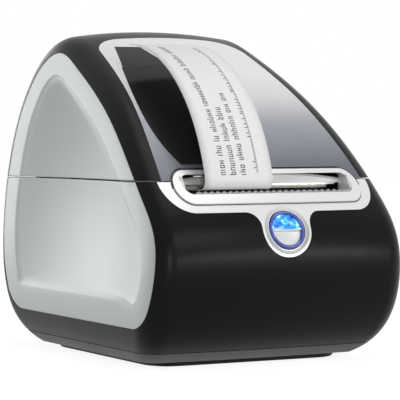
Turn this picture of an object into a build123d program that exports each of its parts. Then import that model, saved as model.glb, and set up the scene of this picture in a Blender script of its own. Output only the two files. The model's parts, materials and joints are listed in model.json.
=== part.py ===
from build123d import *
import os
from math import asin, atan2, cos, degrees, hypot, radians, sin, tan

os.makedirs("parts", exist_ok=True)

# Overall size. X is the width, -Y is the front, +Z is up, and the feet stand on z = 0.
body_width = 125.0
body_depth = 180.0
body_height = 148.0

# Casing
foot_height = 2.5
pan_top = 7.2
seam_z = 79.6
seam_gap = 0.5
wall = 3.0
side_wall = 6.4
rim_radius = 12.0
crown_share = 0.945
crown_reach = 66.0

# Inlaid panels
panel_margin = 10.5
panel_shift = 3.0
panel_bottom = 18.0
panel_corner = 16.0
panel_depth = 5.0
dish_margin = 9.7
dish_bottom_margin = 12.0
dish_shift = 2.0
dish_depth = 3.8
dish_edge_depth = 1.2
plate_margin = 10.2
plate_depth = 1.6
plate_back_y = 29.0
plate_corner = 12.0
window_depth = 0.8

# Slot bezel
ring_half = 45.0
ring_top = 84.5
ring_bottom = 70.4
ring_corner = 7.0
ring_proud = 0.8
frame_half = 51.0
frame_bottom = 66.6
frame_corner = 12.0
bezel_depth = 2.0
slot_half = 41.2
slot_top = 82.4
slot_bottom = 74.2
tongue_radius = 11.6
notch_gap = 0.5

# Feed button
button_z = 59.2
button_radius = 8.4
button_gap = 0.35
button_tilt = 21.0

# Printing mechanism
platen_y = -58.0
platen_z = 69.2
platen_radius = 6.0
platen_half = 38.0
shaft_radius = 2.5
running_gap = 0.05
plate_half = 43.0
plate_thickness = 2.0
gear_module = 0.8
platen_teeth = 24
idler_teeth = 36
motor_teeth = 10
gear_line = -57.0
gear_start = 45.8
gear_width = 3.4
head_pivot_y = -32.0
head_pivot_z = platen_z + 8.0
nip_gap = 0.6
motor_radius = 17.5
motor_length = 15.0

# Label, spool and hinge
label_left = -32.8
label_width = 32.5
paper_thickness = 0.2
roll_y = 32.0
roll_z = 91.0
roll_radius = 36.0
core_radius = 13.2
spindle_radius = 11.5
journal_radius = 4.0
flange_radius = 30.0
cradle_start = 43.0
cradle_width = 3.0
hinge_y = body_depth / 2 - 4.9
hinge_z = seam_z + 6.5
knuckle_radius = 3.2
hinge_pin_radius = 1.5
ear_start = 34.0
ear_width = 6.0

base_top = seam_z - seam_gap / 2
lid_bottom = seam_z + seam_gap / 2

# Side view of the casing, as shares of its depth and height, clockwise from under the front.
SIDE_OUTLINE = [
    (-0.106, -0.061), (-0.309, 0.004), (-0.428, 0.085), (-0.495, 0.245),
    (-0.487, 0.400), (-0.400, 0.539), (-0.157, 0.782), (0.114, 0.953),
    (0.240, 0.999), (0.340, 0.974), (0.444, 0.850), (0.499, 0.520),
    (0.471, 0.205), (0.408, 0.075), (0.311, 0.004), (0.112, -0.061),
]
# Front view of one side wall, as shares of the half width and the height, from the bottom up.
WALL_OUTLINE = [
    (0.822, 0.017), (0.948, 0.082), (1.0, 0.220), (0.982, 0.380), (0.944, 0.541), (0.840, 0.781),
    (0.715, 1.027),
]


def save(part, name):
    part.label = name
    export_step(part, f"parts/{name}.step")


# Casing forms


def side_curve(inset=0.0):
    """The closed side view at the middle of the casing, moved inwards by inset."""
    outer = Spline(*[(y * body_depth, z * body_height) for y, z in SIDE_OUTLINE], periodic=True)
    if inset == 0:
        return outer
    moved = []
    for y, z in SIDE_OUTLINE:
        point = Vector(y * body_depth, z * body_height)
        along = outer % outer.param_at_point(point)
        moved.append(point + Vector(along.Y, -along.X) * inset)
    return Spline(*moved, periodic=True)


def crowned(inset=0.0):
    """The body behind the crowned front, top and back skin, wider than the casing."""
    middle = Plane.YZ * Face(Wire([side_curve(inset)]))
    end = middle.scale(crown_share)
    return loft([Pos(-crown_reach, 0, 0) * end, middle, Pos(crown_reach, 0, 0) * end])


def between_sides(inset=0.0, bottom=foot_height):
    """The block between the two leaning side walls."""
    half = body_width / 2
    points = [(x * half, z * body_height) for x, z in WALL_OUTLINE]
    with BuildPart() as block:
        with BuildSketch(Plane.XZ.offset(-body_depth)):
            with BuildLine():
                flank = Spline(*[(x - inset, z) for x, z in points])
                mirror(flank, about=Plane.YZ)
                Line(flank @ 0, (-(flank @ 0).X, (flank @ 0).Y))
                Line(flank @ 1, (-(flank @ 1).X, (flank @ 1).Y))
            make_face()
        extrude(amount=2 * body_depth)
        if bottom > foot_height:
            split(bisect_by=Plane.XY.offset(bottom), keep=Keep.TOP)
    return block.part


def rounded_casing(skin_inset, side_inset, radius):
    """The skin body cut by the side walls, with its two rims rounded."""
    body = (crowned(skin_inset) & between_sides(side_inset)).solids()[0]
    rims = body.edges().filter_by(lambda e: abs((e @ 0.5).X) > body_width / 4 and e.length > 2 * body_depth)
    return body.fillet(radius, rims)


def slab(low, high, half=body_width, front=-body_depth, back=body_depth):
    """A plain block between two heights, for cutting."""
    size = (2 * half, back - front, high - low)
    return Pos(0, (front + back) / 2, (low + high) / 2) * Box(*size)


outer_form = rounded_casing(0, 0, rim_radius)
cavity_form = rounded_casing(wall, side_wall, rim_radius - wall)
skin_block = crowned(0)


def skin_point(z):
    """The front of the casing at height z, at the middle."""
    cut = Plane.YZ * Line((-body_depth, z), (0, z))
    return min(v.Y for v in (skin_block & cut).vertices())


# Side panels, inlaid in both side walls and split by the seam


def side_face(margin, bottom, corner, shift):
    """The panel's side view: the casing's outline moved inwards, with a flat bottom and round corners."""
    face = Pos(-shift, 0) * Face(Wire([side_curve(margin)]))
    with BuildSketch(Plane.YZ) as outline:
        add(face)
        with Locations((0, bottom - body_depth)):
            Rectangle(2 * body_depth, 2 * body_depth, mode=Mode.SUBTRACT)
        corners = outline.vertices().filter_by(lambda v: abs(v.Y - bottom) < 0.1)
        fillet(corners, radius=corner)
    return outline.sketch


def wall_half(z):
    """Half the width between the side walls at height z."""
    half = body_width / 2
    flank = Spline(*[(x * half, share * body_height) for x, share in WALL_OUTLINE])
    crossing = flank.intersect(Line((0, z), (body_width, z)))
    return crossing.vertices()[0].X


def dish_section(outline, z, depth):
    """One level of the dish: a shallow arc between the outline's front and back, open outwards."""
    ends = sorted(v.Y for v in (outline & Plane.YZ * Line((-body_depth, z), (body_depth, z))).vertices())
    front, back = ends[0], ends[-1]
    near = wall_half(z)
    arc = ThreePointArc((near, front), (near - depth, (front + back) / 2), (near, back))
    rest = Polyline((near, back), (near + dish_reach, back), (near + dish_reach, front), (near, front))
    return Pos(0, 0, z) * Face(Wire([arc, *rest.edges()]))


dish_reach = 4.0
dish_levels = 9
dish_end_gap = 1.2
panel_face = side_face(panel_margin, panel_bottom, panel_corner, panel_shift)
dish_bottom = panel_bottom + dish_bottom_margin
dish_face = side_face(panel_margin + dish_margin, dish_bottom, panel_corner, panel_shift + dish_shift)
dish_top = dish_face.bounding_box().max.Z - dish_end_gap
dish_sections = []
for level in range(dish_levels):
    share = (1 - cos(radians(180 * level / (dish_levels - 1)))) / 2
    level_z = dish_bottom + 0.1 + (dish_top - dish_bottom - 0.1) * share
    level_depth = dish_edge_depth + (dish_depth - dish_edge_depth) * 4 * share * (1 - share)
    dish_sections.append(dish_section(dish_face, level_z, level_depth))
dish = loft(dish_sections)
panel_prism = extrude(Pos(-crown_reach, 0, 0) * panel_face, amount=2 * crown_reach, dir=(1, 0, 0))
panel_floor = between_sides(panel_depth)
panel_pocket = panel_prism - panel_floor
panels = (outer_form & panel_prism) - panel_floor
panels = panels - dish - mirror(dish, about=Plane.YZ)

# Front outlines of the slot bezel


def ring_outline(grow=0.0):
    with BuildSketch(Plane.XZ) as outline:
        with Locations((0, (ring_top + ring_bottom) / 2)):
            RectangleRounded(
                2 * (ring_half + grow), ring_top - ring_bottom + 2 * grow, ring_corner + grow
            )
    return outline.sketch


def through(sketch):
    """A sketch on the XZ plane, extended forwards through the front of the casing."""
    return extrude(sketch, amount=body_depth, dir=(0, -1, 0))


with BuildSketch(Plane.XZ) as frame_outline:
    with BuildLine():
        Polyline(
            (-frame_half, base_top), (frame_half, base_top), (frame_half, frame_bottom),
            (tongue_radius, frame_bottom), (tongue_radius, button_z), (-tongue_radius, button_z),
            (-tongue_radius, frame_bottom), (-frame_half, frame_bottom), close=True,
        )
    make_face()
    lower = frame_outline.vertices().filter_by(lambda v: abs(v.Y - frame_bottom) < 0.1)
    fillet(lower.filter_by(lambda v: abs(v.X) > tongue_radius + 1), radius=frame_corner)
    lower = frame_outline.vertices().filter_by(lambda v: abs(v.Y - frame_bottom) < 0.1)
    fillet(lower.filter_by(lambda v: abs(v.X) < tongue_radius + 1), radius=frame_corner / 2)
    with Locations((0, button_z)):
        Circle(tongue_radius)

with BuildSketch(Plane.XZ) as slot_outline:
    with Locations((0, (slot_top + slot_bottom) / 2)):
        RectangleRounded(2 * slot_half, slot_top - slot_bottom, (slot_top - slot_bottom) / 2 - 0.2)

slot_prism = through(slot_outline.sketch)
frame_prism = through(frame_outline.sketch)
ring_prism = through(ring_outline())
notch_prism = through(ring_outline(notch_gap))

button_y = skin_point(button_z)
button_plane = Plane(
    origin=(0, button_y, button_z),
    x_dir=(1, 0, 0),
    z_dir=(0, -cos(radians(button_tilt)), sin(radians(button_tilt))),
)
with BuildPart() as button_hole:
    with BuildSketch(button_plane.offset(-12)):
        Circle(button_radius + button_gap)
    extrude(amount=24)

slot_bezel = (skin_block & frame_prism) - crowned(bezel_depth)
slot_bezel = slot_bezel + ((crowned(-ring_proud) & ring_prism) - crowned(wall))
slot_bezel = slot_bezel - slot_prism - button_hole.part
save(slot_bezel, "slot_bezel")

# Hinge between the lid and the housing


def hinge_cylinder(radius, start, length, side):
    """A cylinder on the lid's hinge axis, from start outwards on one side."""
    middle = side * (start + length / 2)
    return Pos(middle, hinge_y, hinge_z) * Rot(0, 90, 0) * Cylinder(radius, length)


lid_corner = ((body_depth / 2 - hinge_y) ** 2 + (hinge_z - lid_bottom) ** 2) ** 0.5
relief = Pos(0, hinge_y, hinge_z) * Rot(0, 90, 0) * Cylinder(lid_corner + 0.4, body_width)
knuckle_start = ear_start - ear_width - 3.6
knuckle_length = ear_width + 3.3

# Lower housing
lower_housing = (outer_form & slab(pan_top + 0.3, base_top)) - cavity_form - relief
lower_housing = lower_housing - panel_pocket
lower_housing = lower_housing - (frame_prism - crowned(bezel_depth)) - slot_prism - button_hole.part
lower_housing = lower_housing - notch_prism
for side in (-1, 1):
    neck = Pos(side * (ear_start + ear_width / 2), hinge_y, (hinge_z + seam_z - 12) / 2) * Box(
        ear_width, 2 * knuckle_radius, hinge_z - seam_z + 12
    )
    ear = (neck + hinge_cylinder(knuckle_radius, ear_start, ear_width, side)) & outer_form
    pin_hole = hinge_cylinder(hinge_pin_radius, ear_start - 1, ear_width + 2, side)
    lower_housing = lower_housing + ear - pin_hole

jack_x = -18.0
jack_width = 10.0
usb_x = 12.0
usb_width = 13.0
board_z = 12.0
board_thickness = 1.6
socket_height = 11.5
socket_z = board_z + board_thickness
for x, width in ((jack_x, jack_width), (usb_x, usb_width)):
    port = Pos(x, body_depth / 2, socket_z + socket_height / 2) * Box(
        width + 0.8, 60, socket_height + 0.8
    )
    lower_housing = lower_housing - port
save(lower_housing, "lower_housing")

# Base pan with its feet and screws
foot_x = 36.0
foot_front = -46.0
foot_back = 44.0
foot_radius = 7.0
pan_floor = 2.4
floor_top = foot_height + pan_floor
base_pan = (outer_form & slab(foot_height, pan_top)) - (cavity_form & slab(floor_top, seam_z))
boss_places = [(x, y) for x in (-43, 43) for y in (0, 58)]
for x, y in boss_places:
    base_pan = base_pan + Pos(x, y, (floor_top + board_z) / 2) * Cylinder(3.2, board_z - floor_top)
    base_pan = base_pan - Pos(x, y, foot_height) * Cylinder(2.6, 2.4)
save(base_pan, "base_pan")

with BuildPart() as rubber_feet:
    with Locations(*[(x, y, foot_height / 2) for x in (-foot_x, foot_x) for y in (foot_front, foot_back)]):
        Cylinder(foot_radius, foot_height)
    bottoms = rubber_feet.edges().group_by(Axis.Z)[0]
    chamfer(bottoms, length=0.8)
save(rubber_feet.part, "rubber_feet")

with BuildPart() as pan_screws:
    with Locations(*[(x, y, foot_height + 0.6) for x, y in boss_places]):
        Cylinder(2.4, 1.0)
    with Locations(*[(x, y, foot_height + 0.1) for x, y in boss_places]):
        Box(3.0, 0.7, 0.8, mode=Mode.SUBTRACT)
save(pan_screws.part, "pan_screws")

# Top cover
top_cover = (outer_form & slab(lid_bottom, 2 * body_height)) - cavity_form
top_cover = top_cover - panel_pocket
plate_block = (skin_block & between_sides(plate_margin)) & slab(
    lid_bottom, 2 * body_height, back=plate_back_y
)
plate_corners = plate_block.edges().filter_by(
    lambda e: abs((e @ 0.5).Y - plate_back_y) < 0.1 and abs((e @ 0).Z - (e @ 1).Z) > seam_z / 2
)
plate_block = plate_block.solids()[0].fillet(plate_corner, plate_corners)
faceplate = plate_block - crowned(plate_depth) - notch_prism
top_cover = top_cover - (plate_block - crowned(plate_depth)) - notch_prism
for side in (-1, 1):
    knuckle = hinge_cylinder(knuckle_radius, knuckle_start, knuckle_length, side) & outer_form
    root = Pos(side * (knuckle_start + knuckle_length / 2), hinge_y, hinge_z + 3) * Box(
        knuckle_length, 2 * knuckle_radius, 6
    )
    gap = Pos(side * (ear_start + ear_width / 2), hinge_y, hinge_z - 2) * Box(
        ear_width + 0.8, 16, 2 * knuckle_radius + 8
    )
    bore = hinge_cylinder(hinge_pin_radius + running_gap, knuckle_start - 1, knuckle_length + 2, side)
    top_cover = top_cover - gap + knuckle + (root & outer_form) - bore
save(top_cover, "top_cover")

window_bottom = ring_top + 2.0
window_top = 139.6
with BuildSketch(Plane.XZ) as window_outline:
    with BuildLine():
        left = Spline((-37, window_bottom), (-42.0, 101), (-40.4, 116), (-29, window_top))
        top = Line(left @ 1, (-17, window_top))
        right = Spline(top @ 1, (-7, 110), (-16, window_bottom))
        Line(right @ 1, left @ 0)
    make_face()
window_prism = through(window_outline.sketch)
window_region = (window_prism & skin_block) - crowned(window_depth)
faceplate_window = window_region & faceplate
faceplate = faceplate - window_region
save(faceplate, "faceplate")
save(faceplate_window, "faceplate_window")

pin_length = ear_start + ear_width - knuckle_start - 0.4
hinge_pins = Part() + [
    hinge_cylinder(hinge_pin_radius, knuckle_start + 0.4, pin_length, side) for side in (-1, 1)
]
save(hinge_pins, "hinge_pins")

for side, word in ((-1, "left"), (1, "right")):
    half_space = Pos(side * body_width / 2, 0, body_height / 2) * Box(
        body_width, 2 * body_depth, 2 * body_height
    )
    save(panels & half_space & slab(0, base_top), f"side_panel_lower_{word}")
    save(panels & half_space & slab(lid_bottom, 2 * body_height), f"side_panel_upper_{word}")

# Exit chute and tear bar behind the slot
chute_wall = 1.0
chute_back = platen_y - 5.2
chute_lip = 1.5
label_gap_top = platen_z + 8.8
ring_floor = crowned(wall)
with BuildPart() as exit_chute:
    with BuildSketch(Plane.XZ.offset(-chute_back)):
        with Locations((0, (slot_top + slot_bottom) / 2)):
            RectangleRounded(
                2 * (slot_half + chute_wall),
                slot_top - slot_bottom + 2 * chute_wall,
                (slot_top - slot_bottom) / 2 + chute_wall - 0.2,
            )
    extrude(amount=body_depth / 4)
    with BuildSketch(Plane.XZ.offset(-chute_back)):
        with Locations((0, (slot_top + slot_bottom) / 2)):
            RectangleRounded(2 * slot_half, slot_top - slot_bottom, (slot_top - slot_bottom) / 2 - 0.2)
    extrude(amount=body_depth / 4, mode=Mode.SUBTRACT)
trough = exit_chute.part & ring_floor & slab(0, slot_top - chute_lip)
rear_wall = slab(label_gap_top, slot_top, slot_half + chute_wall, chute_back - chute_wall, chute_back)
save(trough + (rear_wall & crowned(wall + 0.8)), "exit_chute")

tear_pitch = 3.0
tear_count = 24
tear_thickness = 0.6
tear_height = 0.4
tooth_height = 0.85
tear_y = skin_point(slot_bottom) + 4.5
tear_start = -tear_pitch * tear_count / 2
with BuildPart() as tear_bar:
    with BuildSketch(Plane.XZ.offset(-tear_y)):
        with BuildLine():
            teeth = [(tear_start, slot_bottom + tear_height)]
            for tooth in range(tear_count):
                middle = tear_start + (tooth + 0.5) * tear_pitch
                teeth.append((middle, slot_bottom + tear_height + tooth_height))
                teeth.append((middle + tear_pitch / 2, slot_bottom + tear_height))
            Polyline(*teeth)
            Polyline(teeth[-1], (-tear_start, slot_bottom), (tear_start, slot_bottom), teeth[0])
        make_face()
    extrude(amount=tear_thickness)
save(tear_bar.part, "tear_bar")

# Print frame: a folded steel channel that carries the platen, the head and the motor
frame_front = platen_y - 9.0
frame_back = -18.0
frame_low_front = -57.0
tie_bottom = platen_z + 13.3
tie_thickness = 1.2
tie_front = -51.0
tie_back = -41.0
bush_radius = 4.5
bush_flange = 0.9


def across(radius, start, end, y, z):
    """A cylinder along X from start to end."""
    return Pos((start + end) / 2, y, z) * Rot(0, 90, 0) * Cylinder(radius, end - start)


gear_step = gear_module * (platen_teeth + idler_teeth) / 2
motor_step = gear_module * (idler_teeth + motor_teeth) / 2
idler_y = platen_y + gear_step * cos(radians(gear_line))
idler_z = platen_z + gear_step * sin(radians(gear_line))
motor_y = idler_y + motor_step * cos(radians(gear_line))
motor_z = idler_z + motor_step * sin(radians(gear_line))

with BuildPart() as print_frame:
    with BuildSketch(Plane.YZ.offset(-plate_half - plate_thickness)) as cheek:
        with BuildLine():
            Polyline(
                (frame_low_front, floor_top), (frame_front, platen_z / 2), (frame_front, platen_z + 4),
                (platen_y - 4, platen_z + 10.5), (tie_front - 2, tie_bottom + tie_thickness),
                (tie_back + 2, tie_bottom + tie_thickness), (frame_back, platen_z + 2),
                (frame_back, floor_top), close=True,
            )
        make_face()
        fillet(cheek.vertices().group_by(Axis.Y)[-1], radius=2)
    extrude(amount=plate_thickness)
    mirror(about=Plane.YZ)
    with Locations((0, (frame_low_front + frame_back) / 2, floor_top + plate_thickness / 2)):
        Box(2 * plate_half, frame_back - frame_low_front, plate_thickness)
    with Locations((0, (tie_front + tie_back) / 2, tie_bottom + tie_thickness / 2)):
        Box(2 * plate_half, tie_back - tie_front, tie_thickness)
frame_holes = [
    across(bush_radius, -60, 60, platen_y, platen_z),
    across(1.5, -60, 60, head_pivot_y, head_pivot_z),
    across(3.2, 0, 60, motor_y, motor_z),
]
frame_part = print_frame.part - frame_holes
save(frame_part, "print_frame")

bushes = []
for side in (-1, 1):
    inner, outer = side * (plate_half - bush_flange), side * (plate_half + plate_thickness)
    bush = across(bush_radius, min(inner, outer), max(inner, outer), platen_y, platen_z)
    face = side * plate_half
    collar = across(bush_radius + 1.2, min(inner, face), max(inner, face), platen_y, platen_z)
    bore = across(shaft_radius + running_gap, -body_width / 2, body_width / 2, platen_y, platen_z)
    bushes.append(bush + collar - bore)
save(Part() + bushes, "platen_bushes")

shaft_end = gear_start + gear_width + 0.6
save(across(shaft_radius, -plate_half - 4, shaft_end, platen_y, platen_z), "platen_shaft")
roller = across(platen_radius, -platen_half, platen_half, platen_y, platen_z)
save(roller - across(shaft_radius, -60, 60, platen_y, platen_z), "platen_roller")


def spur_gear(teeth, bore, y, z, first_tooth):
    """A spur gear on an X axle, with one tooth pointing at the angle first_tooth in the YZ plane."""
    pitch = gear_module * teeth / 2
    root = pitch - 1.15 * gear_module
    tip = pitch + 0.9 * gear_module
    with BuildPart() as gear:
        with BuildSketch(Plane.YZ.offset(gear_start)):
            Circle(root)
            with PolarLocations(0, teeth, start_angle=first_tooth):
                Polygon(
                    (root - 0.3, -0.72 * gear_module), (pitch, -0.66 * gear_module),
                    (tip, -0.3 * gear_module), (tip, 0.3 * gear_module),
                    (pitch, 0.66 * gear_module), (root - 0.3, 0.72 * gear_module), align=None,
                )
            Circle(bore, mode=Mode.SUBTRACT)
        extrude(amount=gear_width)
        if root > 8:
            with BuildSketch(Plane.YZ.offset(gear_start + gear_width)):
                Circle(root - 1.6)
                Circle(bore + 2.2, mode=Mode.SUBTRACT)
            extrude(amount=-gear_width / 3, mode=Mode.SUBTRACT)
    return Pos(0, y, z) * gear.part


idler_pin_radius = 2.0
motor_shaft_radius = 1.5
platen_gear = spur_gear(platen_teeth, shaft_radius, platen_y, platen_z, gear_line + 180 / platen_teeth)
idler_gear = spur_gear(idler_teeth, idler_pin_radius + running_gap, idler_y, idler_z, gear_line)
motor_pinion = spur_gear(
    motor_teeth, motor_shaft_radius, motor_y, motor_z, gear_line + 180 + 180 / motor_teeth
)
save(platen_gear, "platen_gear")
save(idler_gear, "idler_gear")
save(motor_pinion, "motor_pinion")
plate_outside = plate_half + plate_thickness
idler_pin = across(idler_pin_radius, plate_outside, gear_start + gear_width + 1, idler_y, idler_z)
idler_pin = idler_pin + across(3.4, plate_outside, gear_start - 0.2, idler_y, idler_z)
save(idler_pin, "idler_pin")

motor = across(motor_radius, plate_half - motor_length, plate_half, motor_y, motor_z)
motor = motor - across(
    motor_shaft_radius + running_gap, plate_half - motor_length + 2, plate_half + 1, motor_y, motor_z
)
ear_plate = Pos(plate_half - 0.5, motor_y, motor_z) * Box(1.0, 9, 2 * motor_radius + 12)
motor = motor + (ear_plate - across(motor_radius, 0, 60, motor_y, motor_z))
save(motor, "stepper_motor")
motor_shaft_start = plate_half - motor_length + 2.5
save(across(motor_shaft_radius, motor_shaft_start, shaft_end, motor_y, motor_z), "motor_shaft")

# Print head on its pivot, pressed onto the platen by two leaf springs
nip_top = platen_z + platen_radius
head_bottom = nip_top + nip_gap
head_half = 36.0
head_thickness = 1.5
bracket_thickness = 2.0
bracket_bottom = head_bottom + head_thickness
arm_start = 37.0
arm_width = 2.0
head_hub = 3.4
with BuildPart() as thermal_head:
    with Locations((0, platen_y + 4, head_bottom + head_thickness / 2)):
        Box(2 * head_half, 11, head_thickness)
    chamfer(thermal_head.edges().filter_by(Axis.X).group_by(Axis.Z)[0].sort_by(Axis.Y)[0], length=0.8)
save(thermal_head.part, "thermal_head")

bracket_front = platen_y - 3.5
with BuildPart() as head_bracket:
    with Locations((0, (bracket_front + head_pivot_y - 8) / 2, bracket_bottom + bracket_thickness / 2)):
        Box(2 * arm_start, head_pivot_y - 8 - bracket_front, bracket_thickness)
    with BuildSketch(Plane.YZ.offset(arm_start)):
        with BuildLine():
            Polyline(
                (bracket_front, bracket_bottom), (bracket_front, bracket_bottom + bracket_thickness),
                (head_pivot_y, head_pivot_z + head_hub), (head_pivot_y, head_pivot_z - head_hub),
                close=True,
            )
        make_face()
        with Locations((head_pivot_y, head_pivot_z)):
            Circle(head_hub)
            Circle(1.5 + running_gap, mode=Mode.SUBTRACT)
    extrude(amount=arm_width)
    mirror(about=Plane.YZ)
save(head_bracket.part, "head_bracket")

pivots = [
    across(1.5, start, start + plate_outside + 1 - arm_start, head_pivot_y, head_pivot_z)
    for start in (arm_start, -plate_outside - 1)
]
save(Part() + pivots, "head_pivot_pins")

with BuildPart() as head_springs:
    spring_top = tie_bottom
    with BuildSketch(Plane.YZ.offset(14)) as leaf:
        with BuildLine():
            Polyline(
                (tie_back, spring_top), (tie_front - 1, spring_top),
                (platen_y + 2, bracket_bottom + bracket_thickness + 0.4),
                (platen_y, bracket_bottom + bracket_thickness + 0.4),
                (platen_y, bracket_bottom + bracket_thickness),
                (platen_y + 2.4, bracket_bottom + bracket_thickness),
                (tie_front - 0.8, spring_top - 0.5), (tie_back, spring_top - 0.5), close=True,
            )
        make_face()
    extrude(amount=8)
    mirror(about=Plane.YZ)
save(head_springs.part, "head_springs")

lever_start = arm_start + arm_width + 0.5
lever_width = plate_half - lever_start - 0.4
with BuildPart() as release_lever:
    with BuildSketch(Plane.YZ.offset(-lever_start - lever_width)):
        with Locations((head_pivot_y, head_pivot_z)):
            Circle(4.4)
        with BuildLine():
            Polyline(
                (head_pivot_y - 3.5, head_pivot_z + 2.5), (head_pivot_y + 8, head_pivot_z + 19),
                (head_pivot_y + 13, head_pivot_z + 18), (head_pivot_y + 3.9, head_pivot_z - 1.5),
                close=True,
            )
        make_face()
        with Locations((head_pivot_y, head_pivot_z)):
            Circle(1.5 + running_gap, mode=Mode.SUBTRACT)
    extrude(amount=lever_width)
    with Locations((-lever_start - lever_width / 2 + 1.5, head_pivot_y + 11, head_pivot_z + 19.5)):
        Box(lever_width + 3, 8, 2.4)
save(release_lever.part, "release_lever")

# Label path: infeed tray with its sliding edge guide
web_y = platen_y
web_z = nip_top + 0.35
web_clear = roll_radius + 0.4
web_reach = hypot(roll_y - web_y, roll_z - web_z)
web_angle = degrees(atan2(roll_z - web_z, roll_y - web_y) - asin(web_clear / web_reach))
tray_front = -36.0
tray_back = -13.0


def web_height(y):
    return web_z + (y - web_y) * tan(radians(web_angle))


with BuildPart() as infeed_tray:
    with BuildSketch(Plane.YZ.offset(-plate_half)):
        with BuildLine():
            Polyline(
                (tray_front, web_height(tray_front) - 1.6), (tray_back, web_height(tray_back) - 1.6),
                (tray_back + 2, web_height(tray_back) - 5), (tray_back + 1, web_height(tray_back) - 6),
                (tray_back - 1.5, web_height(tray_back) - 3.4),
                (tray_front, web_height(tray_front) - 3.4), close=True,
            )
        make_face()
    extrude(amount=2 * plate_half)
save(infeed_tray.part, "infeed_tray")

guide_x = label_left + label_width + 0.6
with BuildPart() as label_guide:
    with BuildSketch(Plane.YZ.offset(guide_x)):
        with BuildLine():
            Polyline(
                (tray_front + 3, web_height(tray_front + 3) - 1.3),
                (tray_back - 3, web_height(tray_back - 3) - 1.3),
                (tray_back - 3, web_height(tray_back - 3) + 5),
                (tray_front + 6, web_height(tray_front) + 4), close=True,
            )
        make_face()
    extrude(amount=1.8)
save(label_guide.part, "label_guide")

# Electronics
board_half = 48.0
board_front = -8.0
board_back = body_depth / 2 - 26.0
with BuildPart() as main_board:
    with Locations((0, (board_front + board_back) / 2, board_z + board_thickness / 2)):
        Box(2 * board_half, board_back - board_front, board_thickness)
    top = board_z + board_thickness
    with Locations((-30, 10, top + 1.1)):
        Box(12, 12, 2.2)
    with Locations((22, 18, top + 0.9)):
        Box(8, 10, 1.8)
    with Locations((-8, 34, top + 5), (4, 34, top + 5)):
        Cylinder(4.2, 10)
    with Locations((38, 40, top + 3)):
        Box(7, 20, 6)
save(main_board.part, "main_board")

port_front = board_back - 6.0


def socket(x, width):
    """A socket body that stands on the board and ends flush in the housing's rear wall."""
    block = Pos(x, (port_front + body_depth / 2) / 2, socket_z + socket_height / 2) * Box(
        width, body_depth / 2 - port_front, socket_height
    )
    return block & crowned(1.0)


usb_mouth_y = body_depth / 2 - 22.0
usb_block = socket(usb_x, usb_width)
mouth = Pos(usb_x, usb_mouth_y + 20, socket_z + socket_height / 2) * Box(8.6, 40, 7.9)
tongue = Pos(usb_x, usb_mouth_y + 3, socket_z + socket_height / 2 + 0.4) * Box(5.6, 6.5, 3.2)
save(usb_block - mouth + tongue, "usb_socket")
jack_block = socket(jack_x, jack_width)
jack_axis = Pos(jack_x, usb_mouth_y + 20, socket_z + socket_height / 2) * Rot(90, 0, 0)
jack_pin = Pos(jack_x, usb_mouth_y + 3, socket_z + socket_height / 2) * Rot(90, 0, 0) * Cylinder(1.0, 7)
save(jack_block - jack_axis * Cylinder(3.1, 40) + jack_pin, "power_jack")

# Feed button, its switch and lamp, on a small board behind the front
with BuildPart() as feed_button:
    with BuildSketch(button_plane.offset(-3.2)):
        Circle(button_radius)
    extrude(amount=3.6)
    fillet(feed_button.faces().sort_by(Axis.Y)[0].edges(), radius=0.9)
    with BuildSketch(button_plane.offset(-7.5)):
        Circle(2.2)
    extrude(amount=4.4)
save(feed_button.part, "feed_button")

with BuildPart() as button_switch:
    with BuildSketch(button_plane.offset(-13)):
        Rectangle(6, 6)
    extrude(amount=3.5)
    with BuildSketch(button_plane.offset(-9.5)):
        Circle(1.7)
    extrude(amount=0.8)
save(button_switch.part, "button_switch")

with BuildPart() as button_board:
    with BuildSketch(button_plane.offset(-14.6)) as board_shape:
        RectangleRounded(34, 20, 2)
        with Locations((-13, 0), (13, 0)):
            Circle(1.3, mode=Mode.SUBTRACT)
    extrude(amount=1.6)
save(button_board.part, "button_board")

with BuildPart() as indicator_lamps:
    with BuildSketch(button_plane.offset(-13)):
        with Locations((-5.6, 4), (5.6, 4)):
            Circle(1.5)
    extrude(amount=4)
save(indicator_lamps.part, "indicator_lamps")

with BuildPart() as board_posts:
    with BuildSketch(button_plane.offset(-13)):
        with Locations((-13, 0), (13, 0)):
            Circle(2.4)
    extrude(amount=16)
    with BuildSketch(button_plane.offset(-16)):
        with Locations((-13, 0), (13, 0)):
            Circle(1.25)
    extrude(amount=6)
save((board_posts.part & cavity_form), "board_posts")

# Label spool, carried by two cradles inside the top cover
with BuildPart() as label_roll:
    with BuildSketch(Plane.YZ.offset(label_left)):
        with Locations((roll_y, roll_z)):
            Circle(roll_radius)
            Circle(core_radius, mode=Mode.SUBTRACT)
    extrude(amount=label_width)
save(label_roll.part, "label_roll")

core_gap = 0.3
with BuildPart() as roll_core:
    with BuildSketch(Plane.YZ.offset(label_left)):
        with Locations((roll_y, roll_z)):
            Circle(core_radius)
            Circle(spindle_radius + core_gap, mode=Mode.SUBTRACT)
    extrude(amount=label_width)
save(roll_core.part, "roll_core")

spindle_end = 40.0
flange_thickness = 2.0
journal_end = cradle_start + cradle_width + 0.6
spool_spindle = across(spindle_radius, label_left - 0.4, spindle_end, roll_y, roll_z)
flange = across(flange_radius, label_left - 0.4 - flange_thickness, label_left - 0.4, roll_y, roll_z)
windows = [
    Pos(0, roll_y, roll_z) * Rot(angle, 0, 0) * across(4.5, -60, 0, flange_radius - 9, 0)
    for angle in range(0, 360, 60)
]
journals = across(journal_radius, -journal_end, journal_end, roll_y, roll_z)
spool_spindle = spool_spindle + (flange - windows) + journals
save(spool_spindle, "spool_spindle")

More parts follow.
